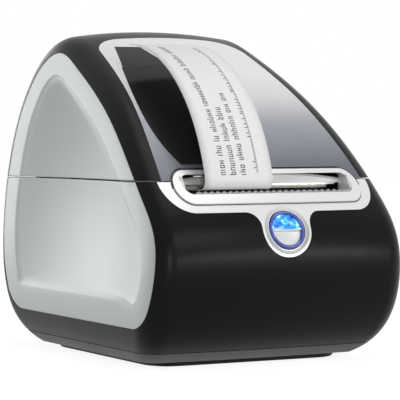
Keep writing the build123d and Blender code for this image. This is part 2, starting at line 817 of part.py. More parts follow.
guide_start = label_left + label_width + 0.6
guide_thickness = 2.4
guide_radius = 26.0
hub_length = 9.0
spool_guide = across(guide_radius, guide_start, guide_start + guide_thickness, roll_y, roll_z)
spool_guide = spool_guide - [
    Pos(0, roll_y, roll_z) * Rot(angle, 0, 0) * across(3.6, 0, 60, guide_radius - 6.2, 0)
    for angle in range(0, 360, 60)
]
hub = across(spindle_radius + 2.2, guide_start, guide_start + hub_length, roll_y, roll_z)
spool_guide = spool_guide + hub
spool_guide = spool_guide - across(spindle_radius + running_gap, -60, 60, roll_y, roll_z)
save(spool_guide, "spool_guide")

cradle_half = 13.0
mouth_angle = 12.0
for side, word in ((-1, "left"), (1, "right")):
    near, far = side * cradle_start, side * (cradle_start + cradle_width)
    with BuildPart() as cradle:
        with BuildSketch(Plane.YZ.offset(min(near, far))):
            with BuildLine():
                Polyline(
                    (roll_y - cradle_half, roll_z + 60), (roll_y + cradle_half, roll_z + 60),
                    (roll_y + cradle_half, roll_z - 2), (roll_y + 4, roll_z - 9), (roll_y - 8, roll_z - 9),
                    (roll_y - cradle_half, roll_z - 5), close=True,
                )
            make_face()
        extrude(amount=cradle_width)
    mouth_block = Pos(0, roll_y, roll_z) * Rot(-mouth_angle, 0, 0) * Pos(0, -20, 0) * Box(
        200, 40, 2 * (journal_radius + running_gap)
    )
    seat = across(journal_radius + running_gap, -60, 60, roll_y, roll_z)
    save((cradle.part - mouth_block - seat) & cavity_form, f"spool_cradle_{word}")

# Labels: the strip that has come out of the slot, and the web between the roll and the head
lead_length = 14.1
lead_rise = 1.5
bend_radius = 4.0
strip_lean = 15.0
strip_radius = 79.5
strip_turn = 72.0
with BuildPart() as label_strip:
    with BuildSketch(Plane.YZ.offset(label_left)):
        with BuildLine() as strip_line:
            lead = PolarLine((web_y, web_z), lead_length, 180 - lead_rise)
            bend = JernArc(lead @ 1, lead % 1, bend_radius, -(90 - lead_rise + strip_lean))
            JernArc(bend @ 1, bend % 1, strip_radius, -strip_turn)
        trace(line_width=paper_thickness)
    extrude(amount=label_width)
save(label_strip.part, "label_strip")

web_length = (web_reach**2 - web_clear**2) ** 0.5
with BuildPart() as label_web:
    with BuildSketch(Plane.YZ.offset(label_left)):
        with BuildLine():
            PolarLine((web_y, web_z), web_length, web_angle)
        trace(line_width=paper_thickness)
    extrude(amount=label_width)
save(label_web.part, "label_web")
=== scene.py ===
import json
import math
import random

import bmesh
import bpy
import numpy as np
from mathutils import Matrix, Vector
from mathutils.bvhtree import BVHTree


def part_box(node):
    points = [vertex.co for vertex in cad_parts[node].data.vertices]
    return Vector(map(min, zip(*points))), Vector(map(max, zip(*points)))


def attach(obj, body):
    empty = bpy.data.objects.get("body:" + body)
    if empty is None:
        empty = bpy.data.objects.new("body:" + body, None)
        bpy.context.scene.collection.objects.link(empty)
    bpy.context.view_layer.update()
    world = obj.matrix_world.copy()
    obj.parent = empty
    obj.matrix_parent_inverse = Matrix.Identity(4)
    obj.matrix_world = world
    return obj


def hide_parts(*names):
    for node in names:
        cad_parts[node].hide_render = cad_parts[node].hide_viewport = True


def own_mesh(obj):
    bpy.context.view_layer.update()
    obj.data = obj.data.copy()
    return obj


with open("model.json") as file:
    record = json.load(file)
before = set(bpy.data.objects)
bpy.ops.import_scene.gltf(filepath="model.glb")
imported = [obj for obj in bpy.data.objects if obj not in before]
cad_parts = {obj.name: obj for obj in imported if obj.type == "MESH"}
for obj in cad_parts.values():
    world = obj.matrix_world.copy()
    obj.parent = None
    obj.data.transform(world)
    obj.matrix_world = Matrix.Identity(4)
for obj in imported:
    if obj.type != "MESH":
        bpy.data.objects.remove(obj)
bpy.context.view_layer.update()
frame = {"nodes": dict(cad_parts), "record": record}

# Camera, fitted to the photograph's outline, in metres and degrees
CAMERA_AZIMUTH = 27.313
CAMERA_PITCH = 1.469
CAMERA_ROLL = -0.237
CAMERA_DISTANCE = 0.9428
CAMERA_TARGET = Vector((0, 0, 0.075))
CAMERA_AIM_RIGHT = 0.00386
CAMERA_AIM_UP = -0.00576
CAMERA_FOCAL_PX = 2059.6
CAMERA_NEAR = 0.01
PHOTO_WIDTH_PX = 400
SENSOR_WIDTH = 36

# The printed label, along its path from the nip
STRIP_START = Vector((0, -0.058, 0.07555))
STRIP_LEAD = 0.0141
STRIP_LEAD_RISE = math.radians(1.5)
STRIP_BEND_RADIUS = 0.004
STRIP_LEAN = math.radians(15)
STRIP_ARC_RADIUS = 0.0795
STRIP_ARC_TURN = math.radians(72)
STRIP_BEND_TURN = math.pi / 2 - STRIP_LEAD_RISE + STRIP_LEAN
STRIP_BEND = STRIP_BEND_RADIUS * STRIP_BEND_TURN
STRIP_LENGTH = STRIP_LEAD + STRIP_BEND + STRIP_ARC_RADIUS * STRIP_ARC_TURN
PAPER_THICKNESS = 0.0002
PAPER_ROWS = 120
PAPER_COLUMNS = 8

# The feed button
BUTTON_TILT = math.radians(21)
BUTTON_RADIUS = 0.0084
BUTTON_INNER = BUTTON_RADIUS * 0.82
BUTTON_STEPS = 96


# Shader helpers

PLASTIC_IOR = 1.45
DEFAULT_SPECULAR = 0.5
GRAIN_STRENGTH = 0.35
FINE_STRENGTH = 0.3
CLOUD_SCALE = 35
GLOSS_SCALE = 60
FLAKE_SCALE = 9000
SCRATCH_SCALE = 900
ROLL_RING_SCALE = 1300
TRACK_SCALE = 160


def new_material(name):
    """A material with an output and a Principled shader, and that shader."""
    material = bpy.data.materials.new(name)
    material.use_nodes = True
    nodes = material.node_tree.nodes
    nodes.clear()
    shader = nodes.new("ShaderNodeBsdfPrincipled")
    output = nodes.new("ShaderNodeOutputMaterial")
    material.node_tree.links.new(shader.outputs["BSDF"], output.inputs["Surface"])
    return material, shader


def add_node(material, kind, **settings):
    node = material.node_tree.nodes.new(kind)
    for key, value in settings.items():
        setattr(node, key, value)
    return node


def link(material, source, target):
    material.node_tree.links.new(source, target)


def object_coordinates(material):
    return add_node(material, "ShaderNodeTexCoord").outputs["Object"]


def noise(material, scale, detail=3.0, stretch=None):
    """The factor of a noise texture in the object's own metres."""
    coordinates = object_coordinates(material)
    if stretch:
        mapping = add_node(material, "ShaderNodeMapping")
        mapping.inputs["Scale"].default_value = stretch
        link(material, coordinates, mapping.inputs["Vector"])
        coordinates = mapping.outputs["Vector"]
    texture = add_node(material, "ShaderNodeTexNoise")
    texture.inputs["Scale"].default_value = scale
    texture.inputs["Detail"].default_value = detail
    link(material, coordinates, texture.inputs["Vector"])
    return texture.outputs["Fac"]


def ramp(material, factor, stops):
    """A colour ramp over a factor. Each stop is a place and a colour."""
    node = add_node(material, "ShaderNodeValToRGB")
    elements = node.color_ramp.elements
    elements[0].position, elements[0].color = stops[0][0], (*stops[0][1], 1)
    elements[1].position, elements[1].color = stops[-1][0], (*stops[-1][1], 1)
    for place, color in stops[1:-1]:
        elements.new(place).color = (*color, 1)
    link(material, factor, node.inputs["Fac"])
    return node.outputs["Color"]


def spread(material, factor, low, high):
    """A factor of 0 to 1 taken to low to high."""
    node = add_node(material, "ShaderNodeMapRange")
    node.inputs["To Min"].default_value = low
    node.inputs["To Max"].default_value = high
    link(material, factor, node.inputs["Value"])
    return node.outputs["Result"]


def bump(material, shader, factor, distance, strength):
    node = add_node(material, "ShaderNodeBump")
    node.inputs["Strength"].default_value = strength
    node.inputs["Distance"].default_value = distance
    link(material, factor, node.inputs["Height"])
    link(material, node.outputs["Normal"], shader.inputs["Normal"])


def shade(color, share):
    return tuple(min(1.0, c * share) for c in color)


def moulded(
    name, color, roughness, grain=2500, grain_depth=0.00002, mottle=0.06, specular=DEFAULT_SPECULAR
):
    """Moulded plastic: fine grain, a slight cloudiness and uneven gloss."""
    material, shader = new_material(name)
    cloud = noise(material, CLOUD_SCALE)
    stops = [(0.3, shade(color, 1 - mottle)), (0.7, shade(color, 1 + mottle))]
    link(material, ramp(material, cloud, stops), shader.inputs["Base Color"])
    gloss = noise(material, 90, 4)
    link(material, spread(material, gloss, roughness * 0.85, roughness * 1.15), shader.inputs["Roughness"])
    bump(material, shader, noise(material, grain, 2), grain_depth, GRAIN_STRENGTH)
    shader.inputs["IOR"].default_value = PLASTIC_IOR
    shader.inputs["Specular IOR Level"].default_value = specular
    return material


def metal(name, color, roughness, brush):
    """Metal with fine scratches, drawn out along the axes where the brush is smallest."""
    material, shader = new_material(name)
    scratches = noise(material, SCRATCH_SCALE, 4, brush)
    stops = [(0.25, shade(color, 0.82)), (0.75, shade(color, 1.08))]
    link(material, ramp(material, scratches, stops), shader.inputs["Base Color"])
    link(material, spread(material, scratches, roughness * 0.75, roughness * 1.3), shader.inputs["Roughness"])
    bump(material, shader, scratches, 0.00001, FINE_STRENGTH)
    shader.inputs["Metallic"].default_value = 1.0
    return material


def height_factor(material, low, high):
    """0 to 1 over a range of the object's own height."""
    split = add_node(material, "ShaderNodeSeparateXYZ")
    link(material, object_coordinates(material), split.inputs["Vector"])
    height = add_node(material, "ShaderNodeMapRange")
    height.inputs["From Min"].default_value = low
    height.inputs["From Max"].default_value = high
    link(material, split.outputs["Z"], height.inputs["Value"])
    return height.outputs["Result"]


def silver_paint(name, light, dark, roughness, metallic):
    """Satin silver paint: fine flakes under a soft coat, a little uneven in gloss."""
    material, shader = new_material(name)
    flakes = noise(material, FLAKE_SCALE, 1)
    link(material, ramp(material, flakes, [(0.3, dark), (0.7, light)]), shader.inputs["Base Color"])
    gloss = noise(material, GLOSS_SCALE)
    link(material, spread(material, gloss, roughness * 0.92, roughness * 1.08), shader.inputs["Roughness"])
    shader.inputs["Metallic"].default_value = metallic
    return material


def height_shaded_paint(name, low, high, stops, gloss, metallic):
    """Smooth paint whose tone runs over a range of heights, as painted shade and reflection, with its gloss
    between two values.
    """
    material, shader = new_material(name)
    tone = ramp(material, height_factor(material, low, high), stops)
    link(material, tone, shader.inputs["Base Color"])
    link(material, spread(material, noise(material, GLOSS_SCALE), *gloss), shader.inputs["Roughness"])
    shader.inputs["Metallic"].default_value = metallic
    return material


# Painted reflection on the faceplate: near white at the top to purple grey at the slot, in place of the
# studio's reflection
PLATE_REFLECTION_STOPS = [
    (0.0, (0.09, 0.094, 0.118)), (0.12, (0.125, 0.131, 0.16)), (0.42, (0.31, 0.318, 0.355)),
    (0.62, (0.64, 0.64, 0.645)), (0.8, (0.77, 0.77, 0.765)), (1.0, (0.78, 0.78, 0.775)),
]
# Painted shade where the bezel turns down round the button, darker towards the lower end
WELL_SHADE_STOPS = [
    (0.0, (0.2, 0.21, 0.2)), (0.35, (0.3, 0.31, 0.3)), (0.8, (0.55, 0.56, 0.55)), (1.0, (0.7, 0.71, 0.7)),
]


def paper():
    """Coated label paper with a faint fibre."""
    material, shader = new_material("paper")
    fibre = noise(material, 1600, 6, (1, 0.35, 0.35))
    color = ramp(material, fibre, [(0.25, (0.76, 0.76, 0.757)), (0.75, (0.8, 0.8, 0.797))])
    link(material, color, shader.inputs["Base Color"])
    link(material, spread(material, noise(material, 300), 0.5, 0.62), shader.inputs["Roughness"])
    bump(material, shader, fibre, 0.00001, FINE_STRENGTH)
    return material


def roll_paper():
    """The wound edge of the label roll: many fine rings round the roll's axis."""
    material, shader = new_material("roll_paper")
    low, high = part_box("label_roll")
    mapping = add_node(material, "ShaderNodeMapping")
    mapping.inputs["Location"].default_value = (0, -(low.y + high.y) / 2, -(low.z + high.z) / 2)
    link(material, object_coordinates(material), mapping.inputs["Vector"])
    rings = add_node(material, "ShaderNodeTexWave", wave_type="RINGS", rings_direction="X")
    rings.inputs["Scale"].default_value = ROLL_RING_SCALE
    rings.inputs["Distortion"].default_value = 0.4
    link(material, mapping.outputs["Vector"], rings.inputs["Vector"])
    color = ramp(material, rings.outputs["Fac"], [(0.2, (0.7, 0.68, 0.62)), (0.6, (0.88, 0.88, 0.86))])
    link(material, color, shader.inputs["Base Color"])
    shader.inputs["Roughness"].default_value = 0.6
    return material


def button_glass(name, stops, glow):
    """Clear coloured plastic lit from within by its lamp, in cloudy patches; where the stops run to near
    white, the patches are painted highlights.
    """
    material, shader = new_material(name)
    cloud = noise(material, 420, 2)
    color = ramp(material, cloud, stops)
    link(material, color, shader.inputs["Base Color"])
    link(material, color, shader.inputs["Emission Color"])
    shader.inputs["Emission Strength"].default_value = glow
    shader.inputs["Roughness"].default_value = 0.08
    shader.inputs["Coat Weight"].default_value = 0.6
    return material


def circuit_board():
    """Solder mask with a faint pattern of tracks under it."""
    material, shader = new_material("circuit_board")
    tracks = add_node(material, "ShaderNodeTexBrick")
    tracks.inputs["Scale"].default_value = TRACK_SCALE
    tracks.inputs["Color1"].default_value = (0.015, 0.11, 0.05, 1)
    tracks.inputs["Color2"].default_value = (0.02, 0.14, 0.06, 1)
    tracks.inputs["Mortar"].default_value = (0.03, 0.2, 0.09, 1)
    tracks.inputs["Mortar Size"].default_value = 0.04
    link(material, object_coordinates(material), tracks.inputs["Vector"])
    link(material, tracks.outputs["Color"], shader.inputs["Base Color"])
    shader.inputs["Roughness"].default_value = 0.35
    return material


LOOKS = {
    "black_plastic": moulded("black_plastic", (0.005, 0.0049, 0.0048), 0.3, mottle=0.08, specular=0.1),
    # A dark colour for the tube of painted shade round the slot's ring
    "groove_shade": moulded("groove_shade", (0.03, 0.031, 0.03), 0.5),
    "plinth": moulded("plinth", (0.02, 0.0196, 0.019), 0.5, 1800, 0.00003, specular=0.1),
    # Painted shade round the feed button, darker towards the lower end
    "well": height_shaded_paint("bezel_well_painted_shade", 0.048, 0.07, WELL_SHADE_STOPS, (0.3, 0.36), 0.3),
    "dark_plastic": moulded("dark_plastic", (0.022, 0.022, 0.023), 0.5, 1800, 0.00003),
    "silver_panel": silver_paint("silver_panel", (0.70, 0.735, 0.74), (0.66, 0.695, 0.70), 0.42, 0.15),
    # The faceplate's tone by height is a painted reflection, near white at the top to purple grey at the slot
    "silver_plate": height_shaded_paint("silver_plate", 0.08, 0.138, PLATE_REFLECTION_STOPS, (0.28, 0.33), 0.15),
    "smoked_window": moulded("smoked_window", (0.017, 0.017, 0.0165), 0.16, 900, 0.000002, specular=0.08),
    "bezel": silver_paint("bezel", (0.74, 0.75, 0.74), (0.715, 0.725, 0.715), 0.3, 0.2),
    "grey_plastic": moulded("grey_plastic", (0.62, 0.63, 0.62), 0.3),
    "steel": metal("steel", (0.6, 0.6, 0.61), 0.32, (1, 8, 8)),
    "dark_steel": metal("dark_steel", (0.12, 0.12, 0.125), 0.38, (1, 8, 8)),
    "platen_rubber": moulded("platen_rubber", (0.035, 0.035, 0.035), 0.75, 4000),
    "foot_rubber": moulded("foot_rubber", (0.03, 0.03, 0.03), 0.85, 3000),
    "gear_plastic": moulded("gear_plastic", (0.78, 0.77, 0.72), 0.35),
    "brass": metal("brass", (0.68, 0.5, 0.22), 0.28, (8, 1, 1)),
    "ceramic": moulded("ceramic", (0.75, 0.73, 0.66), 0.2, 600, 0.000004),
    "circuit_board": circuit_board(),
    "switch_plastic": moulded("switch_plastic", (0.02, 0.02, 0.02), 0.45),
    "lamp": moulded("lamp", (0.25, 0.5, 0.9), 0.15),
    "button_blue": moulded("button_blue", (0.02, 0.15, 0.6), 0.15),
    "release_green": moulded("release_green", (0.05, 0.3, 0.27), 0.4),
    "paper": paper(),
    "roll_paper": roll_paper(),
    "print_ink": moulded("print_ink", (0.03, 0.03, 0.034), 0.55, mottle=0.3),
    "cardboard": moulded("cardboard", (0.42, 0.31, 0.2), 0.85, 900, 0.00006, 0.14),
}


def dress_nodes():
    """Every CAD node gets the finish of its material slot, and the label roll its wound edge."""
    for part in frame["record"]["subparts"]:
        look = "roll_paper" if part["node"] == "label_roll" else part["material_slot"]
        mesh = frame["nodes"][part["node"]].data
        mesh.materials.clear()
        mesh.materials.append(LOOKS[look])


# Mesh helpers

RAY_START = 0.2


def new_piece(name, mesh_data, material, body):
    """A mesh piece that rides on a body and takes its finish from a slot."""
    piece = bpy.data.objects.new(name, mesh_data)
    bpy.context.scene.collection.objects.link(piece)
    mesh_data.materials.append(material)
    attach(piece, body)
    return piece


def mesh_from(name, points, faces, smooth=True):
    mesh = bpy.data.meshes.new(name)
    mesh.from_pydata(points, [], faces)
    mesh.update()
    if smooth:
        mesh.shade_smooth()
    return mesh


def mesh_of(form, name):
    """The mesh of a bmesh form, which is freed."""
    mesh = bpy.data.meshes.new(name)
    form.to_mesh(mesh)
    form.free()
    return mesh


def sheet_faces(rows, columns):
    """The faces of a grid of points, row by row, with one more point than faces each way."""
    faces = []
    for row in range(rows):
        for column in range(columns):
            a = row * (columns + 1) + column
            faces.append((a, a + 1, a + columns + 2, a + columns + 1))
    return faces


def band_faces(bands, count):
    """The faces between closed loops of count points, one loop more than there are bands."""
    faces = []
    for band in range(bands):
        for k in range(count):
            a, b = band * count + k, band * count + (k + 1) % count
            faces.append((a, a + count, b + count, b))
    return faces


def rounded_corners(corner, place, steps):
    """Points round a shape's four corners, anticlockwise. place gives the middle of each corner's arc."""
    corners = []
    for quarter, (sx, sy) in enumerate(((1, 1), (-1, 1), (-1, -1), (1, -1))):
        middle_x, middle_y = place(sx, sy)
        arc = []
        for step in range(steps + 1):
            angle = math.pi / 2 * (quarter + step / steps)
            arc.append((middle_x + corner * math.cos(angle), middle_y + corner * math.sin(angle)))
        corners.append(arc)
    return corners


def node_tree(*names):
    """The surfaces of some CAD nodes together, for finding points on them."""
    points, polygons = [], []
    for name in names:
        mesh = frame["nodes"][name].data
        base = len(points)
        points += [v.co.copy() for v in mesh.vertices]
        polygons += [[base + i for i in polygon.vertices] for polygon in mesh.polygons]
    return BVHTree.FromPolygons(points, polygons)


def front_point(tree, x, z, lift):
    """The point that a level line from the front meets first, lifted off the surface."""
    place, normal = tree.ray_cast(Vector((x, -RAY_START, z)), Vector((0, 1, 0)), 2 * RAY_START)[:2]
    return place + normal * lift


# The side panels, with a rolled edge round their dish

PANEL_CENTRE = np.array((0.0, 0.068))
PANEL_SPOKES = 288
PANEL_RIM = 0.0108
PANEL_RIM_FRONT = 0.003
PANEL_RIM_UP = 0.0006
PANEL_EDGE = 0.0005
PANEL_SKIRT = 0.002
DISH_LIP_DROP = 0.0012
DISH_LIP_REACH = 0.0018
DISH_DROP = 0.0032
DISH_LEAN_ALONG = 4.5
DISH_LEAN_UP = 9.0
DISH_LEAN_FROM = 0.6
LEAST_SQUARE = 0.3
RIM_FLATNESS = 0.75
SEAM_DIP = 0.0004
SEAM_MIDDLE = 0.0796
SEAM_HALF_GAP = 0.00025
SEAM_CLEAR = 0.001
RIM_RAY_START = 0.1
RIM_RAY_REACH = 0.06
WALL_LEVELS = 24
WALL_DEGREE = 4

# Shares of the rim's width at which the solids are probed, and past them what is left of the last drop
RIM_PROBES = (0.03, 0.15, 0.3, 0.45, 0.6)
RIM_FADE = ((0.8, 0.45), (1.0, 0.12))
# Shares of the rim's width, each with its share of the outer edge's rounding
RIM_ROWS = (
    (0.0, 1.0), (0.01, 0.45), (0.025, 0.12), (0.045, 0.0),
    (0.15, 0.0), (0.3, 0.0), (0.45, 0.0), (0.6, 0.0), (0.8, 0.0), (1.0, 0.0),
)
# Shares of the way from the rim to the panel's centre
DISH_ROWS = (
    0.005, 0.01, 0.017, 0.026, 0.038, 0.055, 0.08, 0.11,
    0.15, 0.2, 0.26, 0.33, 0.42, 0.53, 0.66, 0.82,
)


def nearby(values, reach):
    """A ring of values, turned by each number of places up to reach either way."""
    return [np.roll(values, step, axis=0) for step in range(-reach, reach + 1)]


def cross2(a, b):
    return a[..., 0] * b[..., 1] - a[..., 1] * b[..., 0]


def panel_outline(meshes):
    """The panel's side view as the farthest point from its centre along each spoke, in Y and Z.

    Spokes that leave through the seam's gap take their neighbours' reach.
    """
    segments = []
    for mesh in meshes:
        points = np.array([v.co[1:3] for v in mesh.vertices]) - PANEL_CENTRE
        pairs = np.array([e.vertices[:] for e in mesh.edges])
        segments.append(np.stack((points[pairs[:, 0]], points[pairs[:, 1]]), axis=1))
    segments = np.concatenate(segments)
    start, run = segments[:, 0], segments[:, 1] - segments[:, 0]
    angles = 2 * math.pi * np.arange(PANEL_SPOKES) / PANEL_SPOKES
    rays = np.stack((np.cos(angles), np.sin(angles)), axis=1)
    reaches = []
    for ray in rays:
        slope = cross2(run, ray)
        slope = np.where(np.abs(slope) < 1e-12, 1e-12, slope)
        share = -cross2(start, ray) / slope
        reach = (start + run * share[:, None]) @ ray
        reaches.append(reach[(share >= 0) & (share <= 1)].max())
    reaches = np.array(reaches)
    around = np.median(nearby(reaches, 4), axis=0)
    reaches = np.where(reaches < around - SEAM_DIP, around, reaches)
    return PANEL_CENTRE + rays * reaches[:, None]


def wall_curve(meshes):
    """Half the width of the side wall as a smooth function of height."""
    corners = np.array([v.co for mesh in meshes for v in mesh.vertices])
    heights, halves = [], []
    low, high = corners[:, 2].min(), corners[:, 2].max()
    for step in range(WALL_LEVELS):
        middle = low + (high - low) * (step + 0.5) / WALL_LEVELS
        near = corners[np.abs(corners[:, 2] - middle) < (high - low) / (2 * WALL_LEVELS)]
        if len(near):
            widest = near[np.abs(near[:, 0]).argmax()]
            heights.append(widest[2])
            halves.append(abs(widest[0]))
    return np.poly1d(np.polyfit(heights, halves, WALL_DEGREE))


def rim_drops(side, tree, outline, rim_edge, wall):
    """How far the panel's surface falls behind the flat wall, at steps over its rim, for each spoke."""
    drops = []
    for share in RIM_PROBES:
        places = outline + (rim_edge - outline) * share
        row = []
        for y, z in places:
            if abs(z - SEAM_MIDDLE) < SEAM_CLEAR:
                z = SEAM_MIDDLE + math.copysign(SEAM_CLEAR, z - SEAM_MIDDLE)
            start = Vector((side * RIM_RAY_START, y, z))
            found = tree.ray_cast(start, Vector((-side, 0, 0)), RIM_RAY_REACH)[0]
            row.append(wall(z) - abs(found.x) if found else math.nan)
        around = np.nanmedian(nearby(np.array(row), 3), axis=0)
        drops.append(np.maximum(0.0, np.mean(nearby(around, 2), axis=0)))
    probes = RIM_PROBES + tuple(share for share, left in RIM_FADE)
    return probes, np.array(drops + [drops[-1] * left for share, left in RIM_FADE])


def panel_surface(side, names):
    """A panel skin: rounded outline, rim that follows the casing, and a dish with a quick lip.

    It gives the points, the faces, how far each point is inside the dish's lip, and the wall's curve.
    """
    meshes = [frame["nodes"][name].data for name in names]
    outline = panel_outline(meshes)
    wall = wall_curve(meshes)
    tangent = np.roll(outline, -1, axis=0) - np.roll(outline, 1, axis=0)
    tangent /= np.linalg.norm(tangent, axis=1)[:, None]
    inward = np.stack((-tangent[:, 1], tangent[:, 0]), axis=1)
    inward = np.mean(nearby(inward, 5), axis=0)
    inward /= np.linalg.norm(inward, axis=1)[:, None]
    width = PANEL_RIM - PANEL_RIM_FRONT * inward[:, 0] + PANEL_RIM_UP * inward[:, 1]
    rim_edge = outline + inward * width[:, None]
    to_centre = PANEL_CENTRE - rim_edge
    spoke_length = np.linalg.norm(to_centre, axis=1)
    square = np.sum(to_centre * inward, axis=1) / spoke_length
    probes, drops = rim_drops(side, node_tree(*names), outline, rim_edge, wall)

    points, insides = [], []
    for share, rounding in RIM_ROWS:
        places = outline + (rim_edge - outline) * share
        for k in range(PANEL_SPOKES):
            y, z = places[k]
            drop = np.interp(share, probes, drops[:, k]) + rounding * PANEL_EDGE
            points.append(Vector((side * (wall(z) - drop), y, z)))
            insides.append(0.0)
    for share in DISH_ROWS:
        for k in range(PANEL_SPOKES):
            y, z = rim_edge[k] + to_centre[k] * share
            away = spoke_length[k] * share * max(square[k], LEAST_SQUARE)
            insides.append(1 - math.exp(-away / DISH_LIP_REACH))
            lip = DISH_LIP_DROP * insides[-1]
            depth = drops[-1, k] + lip + DISH_DROP * math.sin(share * math.pi / 2)
            points.append(Vector((side * (wall(z) - depth), y, z)))
    middle = len(points)
    y, z = PANEL_CENTRE
    points.append(Vector((side * (wall(z) - DISH_LIP_DROP - DISH_DROP), y, z)))
    insides.append(1.0)
    bands = len(RIM_ROWS) + len(DISH_ROWS) - 1
    faces = [(a, d, c, b) for a, b, c, d in band_faces(bands, PANEL_SPOKES)]
    last = bands * PANEL_SPOKES
    faces += [(last + k, last + (k + 1) % PANEL_SPOKES, middle) for k in range(PANEL_SPOKES)]
    return points, faces, insides, wall


def deepen_shading(mesh, wall, side):
    """Lean the dish's normals towards its middle, so that it shades as the deep dish of the real panel.

    The rim's normals turn towards the flat wall's.
    """
    insides = mesh.attributes["dish"].data
    slope = wall.deriv()
    normals = []
    for vertex in mesh.vertices:
        normal = vertex.normal.copy()
        inside = insides[vertex.index].value
        if abs(normal.x) > 0.4 and inside < 0.01:
            flat = Vector((side, 0, -slope(vertex.co.z))).normalized()
            normal = normal.lerp(flat, RIM_FLATNESS)
        if abs(normal.x) > 0.5:
            away = vertex.co.yz - Vector(PANEL_CENTRE)
            leaning = Vector((side, -away.x * DISH_LEAN_ALONG, -away.y * DISH_LEAN_UP)).normalized()
            share = (inside - DISH_LEAN_FROM) / (1 - DISH_LEAN_FROM)
            normal = normal.lerp(leaning, min(1.0, max(0.0, share)))
        normals.append(normal.normalized())
    mesh.normals_split_custom_set_from_vertices(normals)
    mesh.attributes.remove(mesh.attributes["dish"])


def extrude_border(skin, edges, move):
    """New faces from some border edges, with their far side moved."""
    made = bmesh.ops.extrude_edge_only(skin, edges=edges)["geom"]
    bmesh.ops.translate(skin, vec=move, verts=[v for v in made if isinstance(v, bmesh.types.BMVert)])


def side_panels(side, word):
    """The skins of one side, cut at the seam, with the upper one on the lid."""
    names = (f"side_panel_lower_{word}", f"side_panel_upper_{word}")
    points, faces, insides, wall = panel_surface(side, names)
    for name, body, up in ((names[0], "root", 1), (names[1], "lid", -1)):
        cut = SEAM_MIDDLE - up * (SEAM_HALF_GAP + PANEL_EDGE)
        skin = bmesh.new()
        dish = skin.verts.layers.float.new("dish")
        made = [skin.verts.new(point) for point in points]
        for vertex, inside in zip(made, insides):
            vertex[dish] = inside
        for face in faces:
            skin.faces.new([made[i] for i in face])
        bmesh.ops.bisect_plane(
            skin, geom=skin.verts[:] + skin.edges[:] + skin.faces[:], dist=1e-6,
            plane_co=(0, 0, cut), plane_no=(0, 0, up), clear_outer=True,
        )
        seam = [e for e in skin.edges if e.is_boundary and all(abs(v.co.z - cut) < 1e-6 for v in e.verts)]
        bmesh.ops.split_edges(skin, edges=seam)
        extrude_border(skin, seam, (-side * PANEL_EDGE, 0, up * PANEL_EDGE))
        border = [e for e in skin.edges if e.is_boundary]
        extrude_border(skin, border, (-side * PANEL_SKIRT, 0, 0))
        bmesh.ops.recalc_face_normals(skin, faces=skin.faces[:])
        mesh = mesh_of(skin, name + "_skin")
        mesh.shade_smooth()
        outwards = sum(p.normal.x * p.area for p in mesh.polygons)
        if outwards * side < 0:
            mesh.flip_normals()
        deepen_shading(mesh, wall, side)
        piece = new_piece(mesh.name, mesh, LOOKS["silver_panel"], body)
        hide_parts(name)


# Trim on the front

WINDOW_TOP = 0.1396
WINDOW_TOP_LEFT = -0.029
WINDOW_TOP_RIGHT = -0.017
WINDOW_OVERLAP = 0.0006
WINDOW_EDGE = 0.0005
WINDOW_SEEN = 0.0004
WINDOW_ROWS = 14
WINDOW_COLUMNS = 16
FILM_LIFT = 0.00005
RING_HALF = 0.045
RING_TOP = 0.0845
RING_BOTTOM = 0.0704
RING_CORNER = 0.007
GROOVE_SHADE_RADIUS = 0.00045
GROOVE_SHADE_CLEAR = 0.0003
RING_PROUD = 0.0008
RING_STEPS = 14
RING_SIDE_STEPS = 20
WELL_INNER = 0.0091
WELL_OUTER = 0.0106
WELL_RINGS = 6
WELL_SPOKES = 72
WELL_RAY_START = 0.01
WELL_RAY_REACH = 0.03
WELL_LIFT = 0.00006


def window_head():
    """The upper end of the window, a film on the faceplate that goes on from the pane's upper edge."""
    pane = frame["nodes"]["faceplate_window"].data.vertices
    crest = max(v.co.y for v in pane)
    tree = node_tree("faceplate", "faceplate_window")
    edge = []
    for corner in (v.co for v in pane if v.co.y > crest - WINDOW_EDGE):
        if abs(front_point(tree, corner.x, corner.z, 0).y - corner.y) < WINDOW_SEEN:
            edge.append(corner)
    left = min(edge, key=lambda c: c.x)
    right = max(edge, key=lambda c: c.x)
    points = []
    for row in range(WINDOW_ROWS + 1):
        share = row / WINDOW_ROWS
        low_x = left.x + (WINDOW_TOP_LEFT - left.x) * share
        high_x = right.x + (WINDOW_TOP_RIGHT - right.x) * share
        for column in range(WINDOW_COLUMNS + 1):
            across = column / WINDOW_COLUMNS
            base = left.z + (right.z - left.z) * across - WINDOW_OVERLAP
            x, z = low_x + (high_x - low_x) * across, base + (WINDOW_TOP - base) * share
            points.append(front_point(tree, x, z, FILM_LIFT))
    mesh = mesh_from("window_head", points, sheet_faces(WINDOW_ROWS, WINDOW_COLUMNS))
    new_piece(mesh.name, mesh, LOOKS["smoked_window"], "lid")


def ring_path():
    """The slot ring's outer edge in the front view, anticlockwise."""
    def middle(sx, sz):
        return sx * (RING_HALF - RING_CORNER), (RING_TOP if sz > 0 else RING_BOTTOM) - sz * RING_CORNER

    places = []
    for corner, arc in enumerate(rounded_corners(RING_CORNER, middle, RING_STEPS)):
        places += arc
        if corner in (0, 2):
            end_x, end_z = arc[-1]
            sx = 1 if corner == 0 else -1
            for step in range(1, RING_SIDE_STEPS):
                places.append((end_x - sx * (RING_HALF - RING_CORNER) * step * 2 / RING_SIDE_STEPS, end_z))
    return places


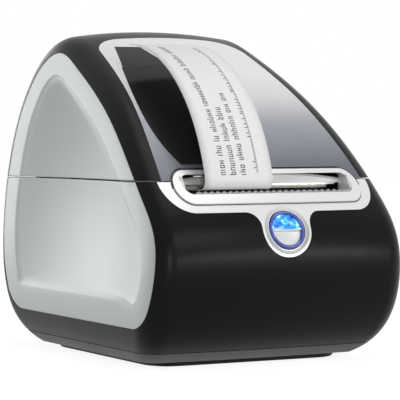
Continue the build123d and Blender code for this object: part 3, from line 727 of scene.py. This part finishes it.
def ring_groove_shade():
    """A dark tube of painted shade where the slot's ring rises from its frame, in place of the shade in the
    groove.
    """
    tree = node_tree("slot_bezel")
    middle_z = (RING_TOP + RING_BOTTOM) / 2
    places = []
    for x, z in ring_path():
        outwards = Vector((x / RING_HALF * GROOVE_SHADE_CLEAR, 0, math.copysign(GROOVE_SHADE_CLEAR, z - middle_z)))
        inside = Vector((x, 0, z)) - outwards
        places.append(front_point(tree, inside.x, inside.z, -RING_PROUD) + 2 * outwards)
    curve = bpy.data.curves.new("ring_groove_shade", "CURVE")
    curve.dimensions = "3D"
    curve.bevel_depth = GROOVE_SHADE_RADIUS
    curve.bevel_resolution = 3
    spline = curve.splines.new("POLY")
    spline.points.add(len(places) - 1)
    for point, place in zip(spline.points, places):
        point.co = (*place, 1)
    spline.use_cyclic_u = True
    piece = bpy.data.objects.new("ring_groove_shade", curve)
    bpy.context.scene.collection.objects.link(piece)
    curve.materials.append(LOOKS["groove_shade"])
    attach(piece, "root")


def button_well_shade():
    """A flat ring of painted shade on the bezel round the feed button, in place of the hollow's shading."""
    place = button_frame()
    outwards = place.to_3x3() @ Vector((0, 0, 1))
    tree = node_tree("slot_bezel")
    points = []
    for ring in range(WELL_RINGS + 1):
        radius = WELL_INNER + (WELL_OUTER - WELL_INNER) * ring / WELL_RINGS
        for spoke in range(WELL_SPOKES):
            angle = 2 * math.pi * spoke / WELL_SPOKES
            start = place @ Vector((radius * math.cos(angle), radius * math.sin(angle), WELL_RAY_START))
            found, normal = tree.ray_cast(start, -outwards, WELL_RAY_REACH)[:2]
            points.append(found + normal * WELL_LIFT)
    mesh = mesh_from("button_well_shade", points, band_faces(WELL_RINGS, WELL_SPOKES))
    new_piece(mesh.name, mesh, LOOKS["well"], "root")


SLOT_HALF = 0.0412
CHEEK_THICKNESS = 0.0011
CHEEK_BEVEL = 0.0003
CHEEK_OUTLINE = [(-0.0738, 0.0748), (-0.0625, 0.0748), (-0.0625, 0.0816), (-0.0692, 0.0816)]


def slot_cheeks():
    """An end wall at each side of the label slot, from its outline in Y and Z."""
    for side, word in ((-1, "left"), (1, "right")):
        cheek = bmesh.new()
        outer = [cheek.verts.new((side * SLOT_HALF, y, z)) for y, z in CHEEK_OUTLINE]
        inner = [cheek.verts.new((side * (SLOT_HALF - CHEEK_THICKNESS), y, z)) for y, z in CHEEK_OUTLINE]
        cheek.faces.new(outer)
        cheek.faces.new(inner[::-1])
        count = len(CHEEK_OUTLINE)
        for k in range(count):
            cheek.faces.new((outer[k], inner[k], inner[(k + 1) % count], outer[(k + 1) % count]))
        bmesh.ops.recalc_face_normals(cheek, faces=cheek.faces[:])
        bmesh.ops.bevel(cheek, geom=cheek.edges[:], offset=CHEEK_BEVEL, segments=2, affect="EDGES")
        mesh = mesh_of(cheek, f"slot_cheek_{word}")
        new_piece(mesh.name, mesh, LOOKS["bezel"], "root")


# The print head's springs and the base's plinth

PLINTH_INSET = 0.004
PLINTH_WALL = 0.003
PLINTH_CLEAR = 0.0004
PLINTH_OVERLAP = 0.0004
PLINTH_CORNER = 0.014
PLINTH_STEPS = 12


def head_springs():
    """The springs over the print head, as a copy of the CAD node's mesh on the base."""
    node = frame["nodes"]["head_springs"]
    mesh = node.data.copy()
    mesh.materials.clear()
    piece = new_piece("head_spring_coils", mesh, LOOKS["steel"], "root")
    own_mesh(piece)
    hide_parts("head_springs")


def plinth():
    """A low skirt under the pan, round the feet, with a rounded outline."""
    pan_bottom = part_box("base_pan")[0].z
    feet_low, feet_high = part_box("rubber_feet")
    half = max(abs(feet_low.x), abs(feet_high.x)) + PLINTH_INSET
    front, back = feet_low.y - PLINTH_INSET, feet_high.y + PLINTH_INSET
    bottom, top = PLINTH_CLEAR, pan_bottom + PLINTH_OVERLAP

    def middle(sx, sy):
        return sx * (half - PLINTH_CORNER), back - PLINTH_CORNER if sy > 0 else front + PLINTH_CORNER

    section = [
        (0.0, top), (0.0003, bottom + 0.0006), (0.0009, bottom), (PLINTH_WALL - 0.0005, bottom),
        (PLINTH_WALL, bottom + 0.0005), (PLINTH_WALL, top),
    ]
    points = []
    for inset, z in section:
        for arc in rounded_corners(PLINTH_CORNER - inset, middle, PLINTH_STEPS):
            points += [(x, y, z) for x, y in arc]
    faces = band_faces(len(section) - 1, len(points) // len(section))
    mesh = mesh_from("base_plinth", points, faces)
    new_piece(mesh.name, mesh, LOOKS["plinth"], "root")


# The label strip and its print


def strip_point(s):
    """The middle of the strip at the length s from the nip, and its outward normal, in the YZ plane."""
    heading = math.pi - STRIP_LEAD_RISE
    point = Vector(STRIP_START)
    along = min(s, STRIP_LEAD)
    point += along * Vector((0, math.cos(heading), math.sin(heading)))
    s -= along
    for radius, turn in ((STRIP_BEND_RADIUS, STRIP_BEND_TURN), (STRIP_ARC_RADIUS, STRIP_ARC_TURN)):
        if s <= 0:
            break
        angle = min(s / radius, turn)
        centre = point + radius * Vector((0, math.sin(heading), -math.cos(heading)))
        heading -= angle
        point = centre + radius * Vector((0, -math.sin(heading), math.cos(heading)))
        s -= angle * radius
    normal = Vector((0, -math.sin(heading), math.cos(heading)))
    return point, normal


def strip_surface(s, across, lift=0.0):
    """A point on the strip, with across from its left edge, lifted off its outer face."""
    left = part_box("label_strip")[0].x
    point, normal = strip_point(s)
    return point + Vector((left + across, 0, 0)) + normal * lift


def label_paper():
    """The strip as one sheet with a little thickness."""
    low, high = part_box("label_strip")
    width = high.x - low.x
    points = []
    for row in range(PAPER_ROWS + 1):
        for column in range(PAPER_COLUMNS + 1):
            points.append(strip_surface(STRIP_LENGTH * row / PAPER_ROWS, width * column / PAPER_COLUMNS))
    mesh = mesh_from("label_paper", points, sheet_faces(PAPER_ROWS, PAPER_COLUMNS))
    piece = new_piece(mesh.name, mesh, LOOKS["paper"], "root")
    solid = piece.modifiers.new("thickness", "SOLIDIFY")
    solid.thickness = PAPER_THICKNESS
    solid.offset = 0
    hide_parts("label_strip")


# Print on the label, with letters as shares of the line's height and places as shares of the label's width

LETTER_PITCH = 0.62
LETTER_STROKE = 0.12
LETTER_WIDTH = 0.72
SMALL_LETTER = 0.66
TALL_LETTER = 0.95
CROSSBAR = 0.62
NARROW_PITCH = 0.55
WORD_GAP = 0.8
LINE_HEIGHT = 0.098
PRINT_MARGIN = 0.0012
PRINT_LIFT = 0.00002
PRINT_LINES = ((0.212, 0.083), (0.364, 0.033), (0.51, 0.041))
TICK_PLACE = 0.735
TICK_HEIGHT = 0.06
TICK_LENGTH = 0.084
TICK_MARGIN = 0.001
TICK_PITCH = 0.0009
TICK_WIDTH = 0.45


def greeked_words(start, length, across, height, rng):
    """Small strokes in groups, as print seen from afar. Each is along, across, length and height."""
    strokes = []
    pitch = height * LETTER_PITCH
    thick = height * LETTER_STROKE
    wide = pitch * LETTER_WIDTH
    small_top = across + height * (1 - SMALL_LETTER)
    s = start
    while s < start + length:
        for _ in range(rng.randint(2, 8)):
            tall = rng.choice((SMALL_LETTER, SMALL_LETTER, SMALL_LETTER, TALL_LETTER))
            kind = rng.randint(0, 4)
            strokes.append((s, across + height * (1 - tall), thick, height * tall))
            if kind != 0:
                strokes.append((s + wide - thick, small_top, thick, height * SMALL_LETTER))
            if kind in (1, 2):
                strokes.append((s, across + height - thick, wide, thick))
            if kind in (2, 3):
                strokes.append((s, small_top, wide, thick))
            if kind == 4:
                strokes.append((s, across + height * CROSSBAR, wide, thick))
            s += pitch if kind else pitch * NARROW_PITCH
        s += pitch * WORD_GAP
    return strokes


def tick_row(start, length, across, height, rng):
    """A row of tall and short ticks, as a sorting code has."""
    ticks = []
    for index in range(int(length / TICK_PITCH)):
        tall = rng.choice((0.45, 0.45, 1.0))
        place = start + index * TICK_PITCH
        ticks.append((place, across + height * (1 - tall), TICK_PITCH * TICK_WIDTH, height * tall))
    return ticks


def label_print():
    """The greeked print on the outer face of the strip."""
    rng = random.Random(7)
    start = STRIP_LEAD + STRIP_BEND + PRINT_MARGIN
    low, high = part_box("label_strip")
    width = high.x - low.x
    marks = []
    for place, length in PRINT_LINES:
        marks += greeked_words(start, length, width * place, width * LINE_HEIGHT, rng)
    marks += tick_row(start + TICK_MARGIN, TICK_LENGTH, width * TICK_PLACE, width * TICK_HEIGHT, rng)
    points, faces = [], []
    lift = PAPER_THICKNESS / 2 + PRINT_LIFT
    for s, across, long, high in marks:
        base = len(points)
        for along, up in ((s, across), (s, across + high), (s + long, across + high), (s + long, across)):
            points.append(strip_surface(along, up, lift))
        faces.append((base, base + 1, base + 2, base + 3))
    mesh = mesh_from("label_print", points, faces, False)
    new_piece(mesh.name, mesh, LOOKS["print_ink"], "root")


# The feed button


def button_frame():
    """A matrix from the button's own axes, with Z outwards from the middle of its front face."""
    normal = Vector((0, -math.cos(BUTTON_TILT), math.sin(BUTTON_TILT)))
    points = [v.co for v in frame["nodes"]["feed_button"].data.vertices]
    front = max(p.dot(normal) for p in points)
    face = [p for p in points if p.dot(normal) > front - 1e-5]
    centre = sum(face, Vector()) / len(face)
    up = Vector((0, math.sin(BUTTON_TILT), math.cos(BUTTON_TILT)))
    axes = Matrix((Vector((1, 0, 0)), up, normal)).transposed()
    return Matrix.Translation(centre) @ axes.to_4x4()


def lathe(name, profile, start=0.0, turn=2 * math.pi, steps=BUTTON_STEPS):
    """A surface of revolution about Z of (radius, height) points, over part of a turn."""
    closed = turn > 2 * math.pi - 1e-6
    columns = steps if closed else steps + 1
    points, faces = [], []
    for index in range(columns):
        angle = start + turn * index / steps
        points += [(r * math.cos(angle), r * math.sin(angle), z) for r, z in profile]
    count = len(profile)
    for index in range(steps):
        a, b = index * count, (index + 1) % columns * count
        faces += [(a + k, b + k, b + k + 1, a + k + 1) for k in range(count - 1)]
    return mesh_from(name, points, faces)


def feed_button():
    """A clear blue ring round a lit upper half with painted highlights and a silver lower half, with a bright
    bar between.
    """
    place = button_frame()
    ring_profile = [
        (BUTTON_RADIUS, -0.0075), (BUTTON_RADIUS, -0.0009), (BUTTON_RADIUS * 0.975, -0.0003),
        (BUTTON_RADIUS * 0.93, 0.0), (BUTTON_RADIUS * 0.87, -0.0001),
        (BUTTON_INNER, -0.0006), (BUTTON_INNER, -0.0030),
    ]
    ring_blue = button_glass(
        "button_ring_blue", [(0.3, (0.01, 0.02, 0.16)), (0.7, (0.04, 0.08, 0.42))], 0.25
    )
    # The lens glows blue from its lamp; its near-white cyan patches are painted highlights
    glow_and_highlight_blue = button_glass(
        "button_glow_and_painted_highlights",
        [
            (0.32, (0.0, 0.05, 0.35)), (0.5, (0.01, 0.26, 0.78)),
            (0.6, (0.1, 0.6, 0.95)), (0.68, (0.85, 0.97, 1.0)),
        ],
        0.7,
    )
    dome, flat = [], []
    for step in range(13):
        share = step / 12
        dome.append((BUTTON_INNER * share, -0.0012 + 0.0010 * (1 - share**2)))
    for step in range(7):
        share = step / 6
        flat.append((BUTTON_INNER * share, -0.0026 + 0.0006 * share**2))
    bar = bmesh.new()
    bmesh.ops.create_cube(bar, size=1.0)
    bmesh.ops.scale(bar, vec=(2 * BUTTON_INNER, 0.0006, 0.0022), verts=bar.verts)
    bmesh.ops.bevel(bar, geom=bar.edges[:], offset=0.00015, segments=2, affect="EDGES")
    bmesh.ops.translate(bar, vec=(0, 0, -0.0015), verts=bar.verts)
    half = math.pi
    for mesh, material in (
        (lathe("button_ring", ring_profile), ring_blue),
        (lathe("button_lens", dome, 0, half, BUTTON_STEPS // 2), glow_and_highlight_blue),
        (lathe("button_plate", flat, half, half, BUTTON_STEPS // 2), LOOKS["bezel"]),
        (mesh_of(bar, "button_bar"), LOOKS["bezel"]),
    ):
        mesh.transform(place)
        new_piece(mesh.name, mesh, material, "feed_button")
    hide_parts("feed_button")


# Stage, light and camera

WORLD_LIGHT = 0.36
FLOOR_HALF = 3.0
FLOOR_TONE = 0.32
FLOOR_GLOW = 0.89

# Each softbox's name, place, aim, width, height and power in watts
LAMPS = (
    ("key", (0.2, -0.95, 0.6), (0, 0, 0.07), 0.35, 0.35, 1.8),
    ("top", (0.1, -0.1, 1.0), (0, 0, 0.07), 0.6, 0.6, 2.5),
    ("back_left", (-0.3, 1.0, 0.2), (-0.06, 0, 0.06), 0.9, 0.5, 2.8),
    ("front_strip", (0.46, -0.95, 0.13), (0, 0, 0.055), 0.7, 0.07, 3.2),
    ("rim_strip", (-0.34, -1.0, 0.15), (0, 0, 0.06), 0.05, 0.28, 1.5),
)


def light_path_share(tree):
    """1 for rays from the camera, and for mirrored and transmitted ones, else 0."""
    path = tree.nodes.new("ShaderNodeLightPath")
    share = path.outputs["Is Camera Ray"]
    for name in ("Is Glossy Ray", "Is Transmission Ray"):
        larger = tree.nodes.new("ShaderNodeMath")
        larger.operation = "MAXIMUM"
        tree.links.new(share, larger.inputs[0])
        tree.links.new(path.outputs[name], larger.inputs[1])
        share = larger.outputs["Value"]
    return share


def studio_world():
    """Plain soft light all round, seen as white by the camera and in reflections."""
    world = bpy.data.worlds.new("studio")
    bpy.context.scene.world = world
    world.use_nodes = True
    tree = world.node_tree
    tree.nodes.clear()
    mix = tree.nodes.new("ShaderNodeMixShader")
    tree.links.new(light_path_share(tree), mix.inputs["Fac"])
    for socket, strength in ((1, WORLD_LIGHT), (2, 1.0)):
        background = tree.nodes.new("ShaderNodeBackground")
        background.inputs["Color"].default_value = (1, 1, 1, 1)
        background.inputs["Strength"].default_value = strength
        tree.links.new(background.outputs["Background"], mix.inputs[socket])
    output = tree.nodes.new("ShaderNodeOutputWorld")
    tree.links.new(mix.outputs["Shader"], output.inputs["Surface"])


def floor():
    """A pale floor that stays near white and still takes the object's shadow."""
    points = [(x * FLOOR_HALF, y * FLOOR_HALF, 0) for x, y in ((-1, -1), (1, -1), (1, 1), (-1, 1))]
    mesh = mesh_from("floor", points, [(0, 1, 2, 3)], False)
    plane = bpy.data.objects.new("floor", mesh)
    bpy.context.scene.collection.objects.link(plane)
    material = bpy.data.materials.new("floor")
    material.use_nodes = True
    tree = material.node_tree
    tree.nodes.clear()
    diffuse = tree.nodes.new("ShaderNodeBsdfDiffuse")
    diffuse.inputs["Color"].default_value = (FLOOR_TONE, FLOOR_TONE, FLOOR_TONE, 1)
    glow = tree.nodes.new("ShaderNodeEmission")
    glow.inputs["Color"].default_value = (FLOOR_GLOW, FLOOR_GLOW, FLOOR_GLOW, 1)
    tree.links.new(light_path_share(tree), glow.inputs["Strength"])
    add = tree.nodes.new("ShaderNodeAddShader")
    output = tree.nodes.new("ShaderNodeOutputMaterial")
    tree.links.new(diffuse.outputs["BSDF"], add.inputs[0])
    tree.links.new(glow.outputs["Emission"], add.inputs[1])
    tree.links.new(add.outputs["Shader"], output.inputs["Surface"])
    mesh.materials.append(material)


def softbox(name, place, aim, width, height, watts):
    """A rectangular lamp that looks from its place at its aim."""
    data = bpy.data.lights.new(name, "AREA")
    data.shape = "RECTANGLE"
    data.size = width
    data.size_y = height
    data.energy = watts
    lamp = bpy.data.objects.new(name, data)
    bpy.context.scene.collection.objects.link(lamp)
    lamp.location = place
    lamp.rotation_euler = (Vector(aim) - Vector(place)).to_track_quat("-Z", "Y").to_euler()


def camera():
    """The camera as fitted to the photograph, which aims a little beside the middle of the object."""
    azimuth = math.radians(CAMERA_AZIMUTH)
    pitch = math.radians(CAMERA_PITCH)
    roll = math.radians(CAMERA_ROLL)
    forward = Vector(
        (math.sin(azimuth) * math.cos(pitch), math.cos(azimuth) * math.cos(pitch), -math.sin(pitch))
    )
    right = Vector((math.cos(azimuth), -math.sin(azimuth), 0))
    up = right.cross(forward)
    place = CAMERA_TARGET - forward * CAMERA_DISTANCE
    view = CAMERA_TARGET + right * CAMERA_AIM_RIGHT + up * CAMERA_AIM_UP - place
    view.normalize()
    level = view.cross(Vector((0, 0, 1))).normalized()
    upright = level.cross(view)
    side = level * math.cos(roll) + upright * math.sin(roll)
    data = bpy.data.cameras.new("camera")
    data.sensor_width = SENSOR_WIDTH
    data.lens = CAMERA_FOCAL_PX / PHOTO_WIDTH_PX * SENSOR_WIDTH
    data.clip_start = CAMERA_NEAR
    obj = bpy.data.objects.new("camera", data)
    bpy.context.scene.collection.objects.link(obj)
    axes = Matrix((side, side.cross(view), -view)).transposed()
    obj.matrix_world = Matrix.Translation(place) @ axes.to_4x4()
    bpy.context.scene.camera = obj


dress_nodes()
side_panels(-1, "left")
side_panels(1, "right")
window_head()
ring_groove_shade()
slot_cheeks()
button_well_shade()
plinth()
head_springs()
label_paper()
label_print()
feed_button()
studio_world()
floor()
for lamp in LAMPS:
    softbox(*lamp)
camera()
bpy.context.scene.view_settings.view_transform = "Standard"
